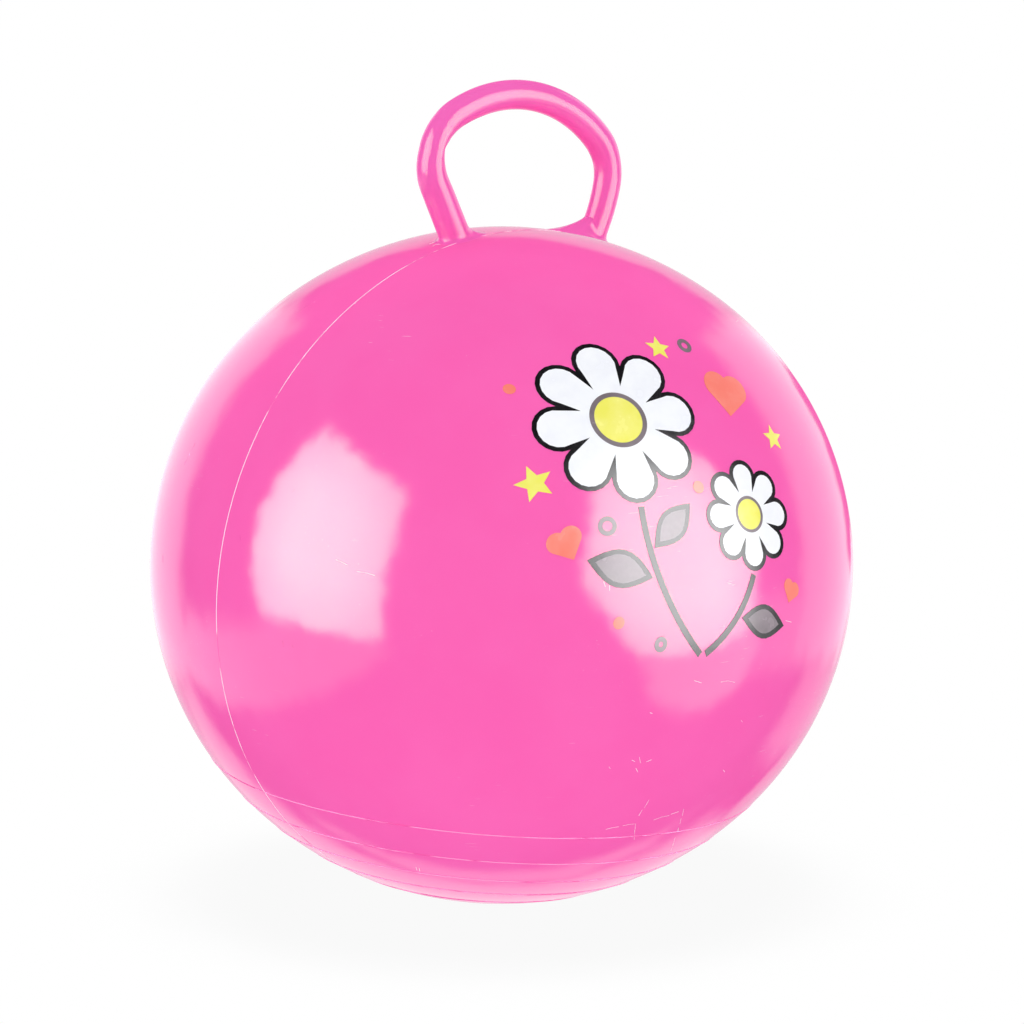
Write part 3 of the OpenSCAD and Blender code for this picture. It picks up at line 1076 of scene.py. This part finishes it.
@dataclass
class PlugValve:
    """The welded valve seat and the push-in plug, at the back of the ball."""

    ball: BallSizes = BallSizes()
    bore: float = 4 * MM
    sleeve: float = 1.6 * MM
    sleeve_length: float = 14 * MM
    spigot: float = 8.85 * MM
    flange: float = 17 * MM
    flange_thick: float = 2 * MM
    recess: float = 1.6 * MM
    recess_width: float = 6.85 * MM
    gap: float = 0.05 * MM
    head: float = 6.7 * MM
    head_thick: float = 2 * MM
    plug_length: float = 16 * MM
    tip: float = 0.02 * MM
    weld: float = 0.15 * MM
    fillet: float = 1.2 * MM
    spigot_drop: float = 0.1 * MM
    grooves: tuple[float, ...] = (0.22, 0.44, 0.66)
    groove_out: float = 0.7 * MM
    groove_in: float = 0.3 * MM
    dish: Place = (0.62, 0.86)
    rim: float = 0.72
    waist: float = 0.93
    taper: float = 0.82
    nick: float = 0.5
    seat_rounding: float = 0.22 * MM
    plug_rounding: float = 0.25 * MM
    crease: float = math.radians(50)
    sides: int = 72

    @property
    def frame(self) -> Matrix:
        """The valve's own frame: Z outwards, with the origin at the side arc's centre."""
        return (Matrix.Translation((0, 0, self.ball.middle))
                @ Matrix.Rotation(math.pi, 4, "Z")
                @ Matrix.Translation((0, -self.ball.side_centre, 0))
                @ Matrix.Rotation(math.pi / 2 - self.ball.valve_rise, 4, "X"))

    def turned(self, name: str, profile: list[Place]) -> Piece:
        """Turns a closed profile round the valve's axis, ring by ring.

        Args:
            name: The piece's name.
            profile: Radius and height of each corner, in order round the profile.

        Returns:
            The turned piece, in the row frame.
        """
        radius, height = profile[0]
        bpy.ops.mesh.primitive_circle_add(vertices=self.sides, radius=radius,
                                          location=(0, 0, height))
        piece = added(name)
        settle(piece)
        edit(piece)
        bpy.ops.mesh.select_all(action="SELECT")
        for (old, low), (new, high) in zip(profile, profile[1:] + profile[:1]):
            bpy.ops.mesh.extrude_edges_move(
                TRANSFORM_OT_translate={"value": (0, 0, high - low)})
            size = new / old
            bpy.ops.transform.resize(value=(size, size, 1), center_override=(0, 0, high))
        bpy.ops.mesh.select_all(action="SELECT")
        bpy.ops.mesh.remove_doubles(threshold=0.000002)
        bpy.ops.mesh.normals_make_consistent(inside=False)
        close_edit()
        return piece

    def finished(self, piece: Piece, rounding: float) -> Piece:
        """Rounds a piece's sharp edges, puts it in its place at the back, and returns it."""
        finish_with(piece, "BEVEL", width=rounding, segments=3, limit_method="ANGLE",
                    angle_limit=self.crease)
        piece.matrix_world = self.frame
        settle(piece)
        smooth(piece, 35.0)
        return piece

    def build_seat(self) -> Piece:
        """Models the seat: flange, spigot and gripping sleeve in one moulding."""
        top = self.ball.side_radius
        inside = top - self.ball.skin - self.weld
        drop = self.flange ** 2 / (2 * top)
        floor = inside - self.flange_thick
        end = floor - self.sleeve_length
        wall = self.bore + self.sleeve
        return self.finished(self.turned("valve_seat_moulding", [
            (self.bore, end), (wall, end), (wall, floor - self.fillet),
            (wall + self.fillet, floor), (self.flange, floor - drop * 0.2),
            (self.flange, inside - drop), (self.spigot, inside - self.spigot ** 2 / (2 * top)),
            (self.spigot, top - self.spigot_drop), (self.recess_width, top),
            (self.recess_width, top - self.recess), (self.bore, top - self.recess),
        ]), self.seat_rounding)

    def build_plug(self) -> Piece:
        """Models the plug: a head with a pull nick and a ribbed, tapered shank."""
        seat = self.ball.side_radius - self.recess + self.gap
        top = seat + self.head_thick
        dish = seat + self.head_thick * self.dish[1]
        shank = self.bore - self.gap
        waist = shank * self.waist
        length = self.plug_length
        profile = [(self.tip, dish), (self.head * self.dish[0], dish),
                   (self.head * self.rim, top), (self.head, top), (self.head, seat),
                   (shank, seat)]
        for share in self.grooves:
            level = seat - length * share
            profile += [(shank, level + self.groove_out), (waist, level + self.groove_in),
                        (waist, level - self.groove_in), (shank, level - self.groove_out)]
        profile += [(shank, seat - length * self.taper), (shank * self.taper, seat - length),
                    (self.tip, seat - length)]
        plug = self.turned("valve_plug_moulding", profile)
        bpy.ops.mesh.primitive_cylinder_add(
            vertices=32, radius=self.head_thick * self.nick, depth=self.head,
            location=(0, self.head, top), rotation=(0, math.pi / 2, 0))
        carve(plug, added("pull_nick_cutter"))
        return self.finished(plug, self.plug_rounding)


# The studio

@dataclass(frozen=True)
class LitArea:
    """One part of the studio that shows in the gloss.

    It is a convex patch of directions, bounded by great circles through its corners (turn to the
    right of the camera and rise, in degrees), by cuts across the picture's right, up and back
    ways, or by both. Towards each bound it loses the share dim of its light.
    """

    name: str
    level: float
    soft: float
    corners: Marks = ()
    cuts: tuple[tuple[Way, float], ...] = ()
    dim: float = 0.0

    def bounds(self, view: ViewPoint) -> list[tuple[Vector, float]]:
        """Each bound's inward way, and how far along it the patch starts.

        Args:
            view: The view that the area is given in.

        Returns:
            A way and a least cosine for each bound.
        """
        ways = [view.way(*corner) for corner in self.corners]
        middle = sum(ways, Vector())
        rows = []
        for index, way in enumerate(ways):
            inward = way.cross(ways[(index + 1) % len(ways)]).normalized()
            rows.append((inward if inward.dot(middle) > 0 else -inward, 0.0))
        for (right, up, back), start in self.cuts:
            rows.append((view.right * right + view.up * up + view.back * back, start))
        return rows


FLAG_CUTS = (((0, 0, -1), 0.915), ((0, 1, 0), 0.0), ((0.68, -1, 0), 0.0))


@dataclass
class Studio:
    """The white studio: camera, floor, and a world with the lit areas that the gloss shows."""

    view: ViewPoint = VIEW
    ball: BallSizes = BallSizes()
    daylight: float = 1.08
    floor_light: float = 1.12
    shadow: float = 0.947
    areas: tuple[LitArea, ...] = (
        LitArea("left_softbox", 13.5, 0.04, ((-76.4, 39.4), (-31.8, 24.5), (-41.5, -22.5),
                                              (-86.0, -10.5), (-88.5, 8.1)), dim=0.2),
        LitArea("right_softbox", 13.5, 0.04, ((35.0, 35.0), (79.1, 30.0), (90.1, -0.1),
                                              (93.0, -15.0), (50.0, -28.0), (25.0, -3.5)),
                dim=0.2),
        LitArea("left_skirt", 1.4, 0.06, ((-129.6, -6.5), (-60.0, -15.0), (-37.9, -24.3),
                                          (-63.2, -38.3), (-108.5, -31.0), (-150.2, -11.7))),
        LitArea("right_skirt", 2.8, 0.06, ((49.0, -22.6), (89.1, -8.6), (99.0, -18.5),
                                           (94.5, -32.6), (82.2, -40.3), (60.0, -38.6))),
        LitArea("right_link", 0.9, 0.06, ((84.6, -6.9), (119.3, -4.5), (134.9, -10.9),
                                          (97.5, -24.0))),
        LitArea("left_wall", 1.35, 0.07, cuts=(((0, 0, -1), 0.62), ((-1.3, -1, 0), 0.0),
                                               ((-0.42, 1, 0), 0.0))),
        LitArea("right_wall", 1.35, 0.07, cuts=(((0.2, 0, -1), 0.60), ((1.2, -1, 0), 0.0),
                                                ((0.35, 1, 0), 0.0))),
        LitArea("low_right_wall", 0.75, 0.07, cuts=(((0, 0, -1), 0.62), ((0.75, 1, 0), 0.0),
                                                    ((1.2, -1, 0), 0.0))),
        LitArea("white_floor", 1.0, 0.06, cuts=(((0, 0, -1), 0.74), ((0, -1, 0), 0.18),
                                                 ((-1.3, -1, 0), 0.0))),
        LitArea("near_floor", 0.9, 0.05, cuts=(((0, 0, -1), 0.60), ((0, -1, 0), 0.66))),
        LitArea("backdrop", 0.7, 0.02, cuts=(((0, 0, -1), 0.86),)),
    )
    glows: tuple[LitArea, ...] = (
        LitArea("top_glow", 0.9, 0.3, cuts=(((0, 0, -1), 0.35), ((0, 1, 0), 0.3))),
        LitArea("rim_glow", 0.5, 0.15, cuts=(((0, 0, -1), 0.7),)),
        LitArea("flag_glow", 0.85, 0.015, cuts=FLAG_CUTS),
    )
    flag: LitArea = LitArea("black_flag", 0.03, 0.015, cuts=FLAG_CUTS)
    ragged: float = 0.02
    fade: float = 0.32
    grain: Way = (14.0, 3.0, 0.6)
    shade: Place = (0.50, 0.72)

    def build(self) -> None:
        """Sets up the whole studio."""
        scene = bpy.context.scene
        scene.view_settings.view_transform = "Standard"
        self.camera(scene)
        self.floor()
        self.world(scene)

    def camera(self, scene: bpy.types.Scene) -> None:
        """Places the camera so that the ball's middle falls where the photograph has it."""
        view = self.view
        off_right = (view.half_px - view.middle_px[0]) * view.pixel
        off_up = (view.middle_px[1] - view.half_px) * view.pixel
        target = Vector((0, 0, self.ball.middle)) + view.right * off_right + view.up * off_up
        data = bpy.data.cameras.new("camera")
        data.lens = view.focal
        data.sensor_width = view.sensor
        data.clip_end = 50
        camera = bpy.data.objects.new("camera", data)
        turn = Matrix((view.right, view.up, view.back)).transposed().to_4x4()
        camera.matrix_world = Matrix.Translation(target + view.back * view.distance) @ turn
        scene.collection.objects.link(camera)
        scene.camera = camera

    def floor(self) -> None:
        """Lays the white floor, with the ball's faint shadow painted into its emission from ambient
        occlusion.
        """
        bpy.ops.mesh.primitive_circle_add(vertices=96, radius=4.0, fill_type="NGON",
                                          location=(0, 0, 0))
        floor = added("studio_floor")
        n = Nodes("white_floor")
        # painted shadow: the emission that the camera sees is dimmed where ambient occlusion finds
        # the ball near
        open_sky = n.add("ShaderNodeAmbientOcclusion", samples=16, Distance=1.0).outputs["AO"]
        shown = n.add("ShaderNodeEmission",
                      Strength=n.spread(open_sky, *self.shade, self.shadow, 1.0))
        white = n.add("ShaderNodeEmission", Strength=self.floor_light)
        pick = n.add("ShaderNodeMixShader", n.rays("Is Camera Ray"), white.outputs[0],
                     shown.outputs[0])
        floor.data.materials.append(n.show(pick))
        floor.visible_glossy = False

    def world(self, scene: bpy.types.Scene) -> None:
        """Makes the world: white to the eye, even on the object, and lit areas in the gloss."""
        world = bpy.data.worlds.new("white_studio")
        scene.world = world
        world.use_nodes = True
        t = Tree(world.node_tree, "Generated")
        shade = t.spread(self.mask(t, self.flag), 0.0, 1.0, 1.0, self.flag.level)
        white = t.maths("MULTIPLY", self.brightest(t, self.areas), shade)
        mirrored = t.mix(t.rays("Is Glossy Ray"), self.daylight, white, "FLOAT")
        seen = t.mix(t.rays("Is Camera Ray"), mirrored, 1.0, "FLOAT")
        tinted = t.maths("MULTIPLY", self.brightest(t, self.glows),
                         t.spread(white, 0.0, 1.0, 1.0, 0.0))
        tinted = t.maths("MULTIPLY", tinted, t.rays("Is Glossy Ray"))
        light = t.add("ShaderNodeBackground", Color=(1, 1, 1), Strength=seen)
        glow = t.add("ShaderNodeBackground", Color=SKIN_PINK, Strength=tinted)
        both = t.add("ShaderNodeAddShader", light.outputs[0], glow.outputs[0])
        t.add("ShaderNodeOutputWorld", both.outputs[0])

    def brightest(self, t: Tree, areas: tuple[LitArea, ...]) -> Socket:
        """How bright the brightest of several lit areas is in each direction."""
        bright = None
        for area in areas:
            level = t.maths("MULTIPLY", self.mask(t, area), area.level)
            level.node.label = area.name
            bright = t.maths("MAXIMUM", bright, level) if bright else level
        return bright

    def mask(self, t: Tree, area: LitArea) -> Socket:
        """Where a lit area is: 1 in it and 0 outside, with a soft, ragged edge.

        Args:
            t: The world's tree, whose place is the direction that is looked in.
            area: The lit area.

        Returns:
            The share.
        """
        share = None
        shift = t.spread(t.noise(*self.grain), 0.3, 0.7, -self.ragged, self.ragged)
        for inward, start in area.bounds(self.view):
            depth = t.maths("ADD", t.facing(inward), shift)
            side = t.spread(depth, start - area.soft, start + area.soft)
            share = t.maths("MULTIPLY", share, side) if share else side
            if area.dim:
                inner = t.spread(depth, start, start + self.fade, 1 - area.dim, 1.0)
                share = t.maths("MULTIPLY", share, inner)
        return share


# The whole toy

def dress_node(film: Piece, material: bpy.types.Material) -> None:
    """Gives a CAD node a finish in its own material slots."""
    for slot in film.material_slots:
        slot.material = material


def stand_for(piece: Piece, body: str, slot: str, *nodes: str) -> None:
    """Puts a modelled piece in place of its CAD nodes, and logs it.

    Args:
        piece: The modelled piece.
        body: The CAD body that it rides on.
        slot: The record's material slot; not used.
        nodes: The CAD nodes that it stands for.
    """
    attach(piece, body)
    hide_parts(*nodes)
    LOG.info("%s stands for %s: %d faces", piece.name, ", ".join(nodes),
             len(piece.data.polygons))


def main() -> None:
    """Builds the toy and its studio."""
    logging.basicConfig(level=logging.INFO, format="%(name)s: %(message)s")
    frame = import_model()
    Studio().build()

    skin = BallSkin().build()
    stand_for(skin, "ball", "skin_pvc", "ball_skin")

    tube_pink = SoftPvc("pink_tube_pvc", srgb(241, 106, 188), srgb(239, 101, 183),
                        shine=0.28, sheen_tint=(1.0, 1.0, 0.5))
    loop = HandleLoop().build()
    dress(loop, tube_pink.make())
    loop.visible_glossy = False  # the ball's gloss shows no handle in the photograph
    stand_for(loop, "ball", "handle_pvc", "handle_loop")

    valve = PlugValve()
    seat = valve.build_seat()
    dress(seat, SoftPvc("seat_pvc", DEEP_PINK, srgb(232, 78, 160), gloss=0.3).make())
    stand_for(seat, "ball", "valve_pvc", "valve_seat")
    plug = valve.build_plug()
    dress(plug, SoftPvc("plug_pvc", srgb(248, 112, 188), srgb(244, 104, 182), gloss=0.28).make())
    stand_for(plug, "plug", "plug_pvc", "valve_plug")

    for ink in InkColour:
        film = frame["nodes"][ink.node]
        dress_node(film, ScreenInk(ink.name.lower() + "_ink", ink.colour, ink.worn).make())
        LOG.info("%s keeps its CAD film", ink.node)


if __name__ == "__main__":
    main()
